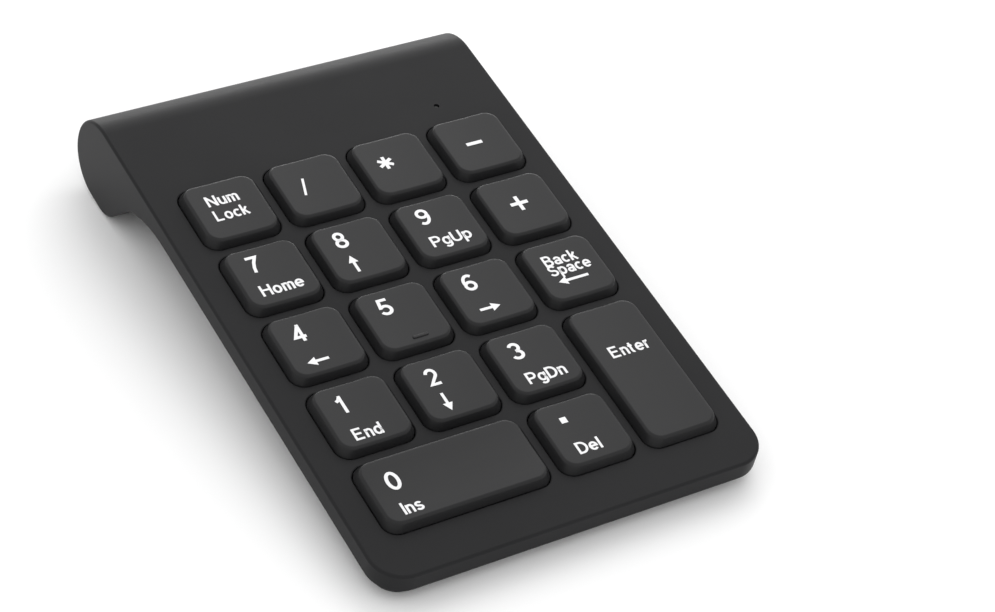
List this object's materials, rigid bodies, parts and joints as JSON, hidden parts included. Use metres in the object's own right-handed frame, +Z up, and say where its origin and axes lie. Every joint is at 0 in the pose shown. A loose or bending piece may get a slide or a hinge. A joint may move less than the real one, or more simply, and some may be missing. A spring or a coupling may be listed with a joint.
{
  "type": "numeric keypad",
  "caption": "Thin wireless numeric keypad on a battery barrel, with sprung keys, stabilised wide keys, a hinged battery door and a slide switch.",
  "frame": {"origin": "on the table, under the middle of the case's outline", "axes": "+X to the user's right, +Y to the rear, +Z up"},
  "size_m": [0.0854, 0.1348, 0.0208],
  "materials": {
    "key_plastic": "fine matte moulded ABS",
    "case_plastic": "satin moulded ABS",
    "legend_ink": "pad-printed ink, used by the key legends of the visual model",
    "silicone": "translucent silicone",
    "steel": "drawn wire and turned screws",
    "guide_plastic": "plain moulded plastic",
    "membrane_film": "clear polyester film",
    "board": "solder mask",
    "chip_plastic": "moulded epoxy",
    "nickel": "nickel plate",
    "clear_plastic": "smoked clear acrylic",
    "switch_plastic": "moulded nylon",
    "cell_jacket": "printed sleeve",
    "lead_pvc": "PVC insulation",
    "foot_rubber": "soft rubber"
  },
  "bodies": {
    "case": {"battery_cell": "cell_jacket", "battery_leads": "lead_pvc", "board_screws": "steel", "bottom_cover": "case_plastic", "case_screws": "steel", "circuit_board": "board", "controller_chip": "chip_plastic", "crystal": "nickel", "dome_0": "silicone", "dome_1": "silicone", "dome_2": "silicone", "dome_3": "silicone", "dome_4": "silicone", "dome_5": "silicone", "dome_6": "silicone", "dome_7": "silicone", "dome_8": "silicone", "dome_9": "silicone", "dome_add": "silicone", "dome_backspace": "silicone", "dome_decimal": "silicone", "dome_divide": "silicone", "dome_enter": "silicone", "dome_multiply": "silicone", "dome_num_lock": "silicone", "dome_subtract": "silicone", "front_feet": "foot_rubber", "guide_plate": "guide_plastic", "indicator_led": "clear_plastic", "light_pipe": "clear_plastic", "membrane_lower": "membrane_film", "membrane_spacer": "membrane_film", "membrane_upper": "membrane_film", "negative_spring_contact": "nickel", "positive_contact": "nickel", "power_switch_body": "switch_plastic", "rear_feet": "foot_rubber", "top_cover": "case_plastic"},
    "key_num_lock": {"keycap_num_lock": "key_plastic"},
    "key_divide": {"keycap_divide": "key_plastic"},
    "key_multiply": {"keycap_multiply": "key_plastic"},
    "key_subtract": {"keycap_subtract": "key_plastic"},
    "key_7": {"keycap_7": "key_plastic"},
    "key_8": {"keycap_8": "key_plastic"},
    "key_9": {"keycap_9": "key_plastic"},
    "key_add": {"keycap_add": "key_plastic"},
    "key_4": {"keycap_4": "key_plastic"},
    "key_5": {"keycap_5": "key_plastic"},
    "key_6": {"keycap_6": "key_plastic"},
    "key_backspace": {"keycap_backspace": "key_plastic"},
    "key_1": {"keycap_1": "key_plastic"},
    "key_2": {"keycap_2": "key_plastic"},
    "key_3": {"keycap_3": "key_plastic"},
    "key_enter": {"keycap_enter": "key_plastic"},
    "key_0": {"keycap_0": "key_plastic"},
    "key_decimal": {"keycap_decimal": "key_plastic"},
    "stabiliser_0": {"stabiliser_wire_0": "steel"},
    "stabiliser_enter": {"stabiliser_wire_enter": "steel"},
    "door": {"battery_door": "case_plastic"},
    "power_slider": {"power_switch_slider": "switch_plastic"}
  },
  "joints": [
    {"name": "press_num_lock", "type": "slide", "parent": "case", "child": "key_num_lock", "axis": [0, 0.111, -0.9938], "range_m": [0, 0.0015], "stiffness_N_per_m": 300, "springref_m": -0.001, "deforming": ["dome_num_lock"]},
    {"name": "press_divide", "type": "slide", "parent": "case", "child": "key_divide", "axis": [0, 0.111, -0.9938], "range_m": [0, 0.0015], "stiffness_N_per_m": 300, "springref_m": -0.001, "deforming": ["dome_divide"]},
    {"name": "press_multiply", "type": "slide", "parent": "case", "child": "key_multiply", "axis": [0, 0.111, -0.9938], "range_m": [0, 0.0015], "stiffness_N_per_m": 300, "springref_m": -0.001, "deforming": ["dome_multiply"]},
    {"name": "press_subtract", "type": "slide", "parent": "case", "child": "key_subtract", "axis": [0, 0.111, -0.9938], "range_m": [0, 0.0015], "stiffness_N_per_m": 300, "springref_m": -0.001, "deforming": ["dome_subtract"]},
    {"name": "press_7", "type": "slide", "parent": "case", "child": "key_7", "axis": [0, 0.111, -0.9938], "range_m": [0, 0.0015], "stiffness_N_per_m": 300, "springref_m": -0.001, "deforming": ["dome_7"]},
    {"name": "press_8", "type": "slide", "parent": "case", "child": "key_8", "axis": [0, 0.111, -0.9938], "range_m": [0, 0.0015], "stiffness_N_per_m": 300, "springref_m": -0.001, "deforming": ["dome_8"]},
    {"name": "press_9", "type": "slide", "parent": "case", "child": "key_9", "axis": [0, 0.111, -0.9938], "range_m": [0, 0.0015], "stiffness_N_per_m": 300, "springref_m": -0.001, "deforming": ["dome_9"]},
    {"name": "press_add", "type": "slide", "parent": "case", "child": "key_add", "axis": [0, 0.111, -0.9938], "range_m": [0, 0.0015], "stiffness_N_per_m": 300, "springref_m": -0.001, "deforming": ["dome_add"]},
    {"name": "press_4", "type": "slide", "parent": "case", "child": "key_4", "axis": [0, 0.111, -0.9938], "range_m": [0, 0.0015], "stiffness_N_per_m": 300, "springref_m": -0.001, "deforming": ["dome_4"]},
    {"name": "press_5", "type": "slide", "parent": "case", "child": "key_5", "axis": [0, 0.111, -0.9938], "range_m": [0, 0.0015], "stiffness_N_per_m": 300, "springref_m": -0.001, "deforming": ["dome_5"]},
    {"name": "press_6", "type": "slide", "parent": "case", "child": "key_6", "axis": [0, 0.111, -0.9938], "range_m": [0, 0.0015], "stiffness_N_per_m": 300, "springref_m": -0.001, "deforming": ["dome_6"]},
    {"name": "press_backspace", "type": "slide", "parent": "case", "child": "key_backspace", "axis": [0, 0.111, -0.9938], "range_m": [0, 0.0015], "stiffness_N_per_m": 300, "springref_m": -0.001, "deforming": ["dome_backspace"]},
    {"name": "press_1", "type": "slide", "parent": "case", "child": "key_1", "axis": [0, 0.111, -0.9938], "range_m": [0, 0.0015], "stiffness_N_per_m": 300, "springref_m": -0.001, "deforming": ["dome_1"]},
    {"name": "press_2", "type": "slide", "parent": "case", "child": "key_2", "axis": [0, 0.111, -0.9938], "range_m": [0, 0.0015], "stiffness_N_per_m": 300, "springref_m": -0.001, "deforming": ["dome_2"]},
    {"name": "press_3", "type": "slide", "parent": "case", "child": "key_3", "axis": [0, 0.111, -0.9938], "range_m": [0, 0.0015], "stiffness_N_per_m": 300, "springref_m": -0.001, "deforming": ["dome_3"]},
    {"name": "press_enter", "type": "slide", "parent": "case", "child": "key_enter", "axis": [0, 0.111, -0.9938], "range_m": [0, 0.0015], "stiffness_N_per_m": 300, "springref_m": -0.001, "deforming": ["dome_enter"]},
    {"name": "press_0", "type": "slide", "parent": "case", "child": "key_0", "axis": [0, 0.111, -0.9938], "range_m": [0, 0.0015], "stiffness_N_per_m": 300, "springref_m": -0.001, "deforming": ["dome_0"]},
    {"name": "press_decimal", "type": "slide", "parent": "case", "child": "key_decimal", "axis": [0, 0.111, -0.9938], "range_m": [0, 0.0015], "stiffness_N_per_m": 300, "springref_m": -0.001, "deforming": ["dome_decimal"]},
    {"name": "sway_0", "type": "hinge", "parent": "key_0", "child": "stabiliser_0", "pos_m": [-0.01858, -0.0444, 0.00955], "axis": [-1, 0, 0], "range_deg": [0, 12.72]},
    {"name": "sway_enter", "type": "hinge", "parent": "key_enter", "child": "stabiliser_enter", "pos_m": [0.02392, -0.03993, 0.01005], "axis": [0, -0.9938, -0.111], "range_deg": [0, 12.72]},
    {"name": "battery_door_hinge", "type": "hinge", "parent": "case", "child": "door", "pos_m": [0.00025, 0.06661, 0.00907], "axis": [1, 0, 0], "range_deg": [0, 90]},
    {"name": "power_switch", "type": "slide", "parent": "case", "child": "power_slider", "axis": [1, 0, 0], "range_m": [0, 0.002]}
  ],
  "couplings": [
    {"joint": "sway_0", "follows": "press_0", "rad_per_m": 145.71},
    {"joint": "sway_enter", "follows": "press_enter", "rad_per_m": 145.71}
  ]
}
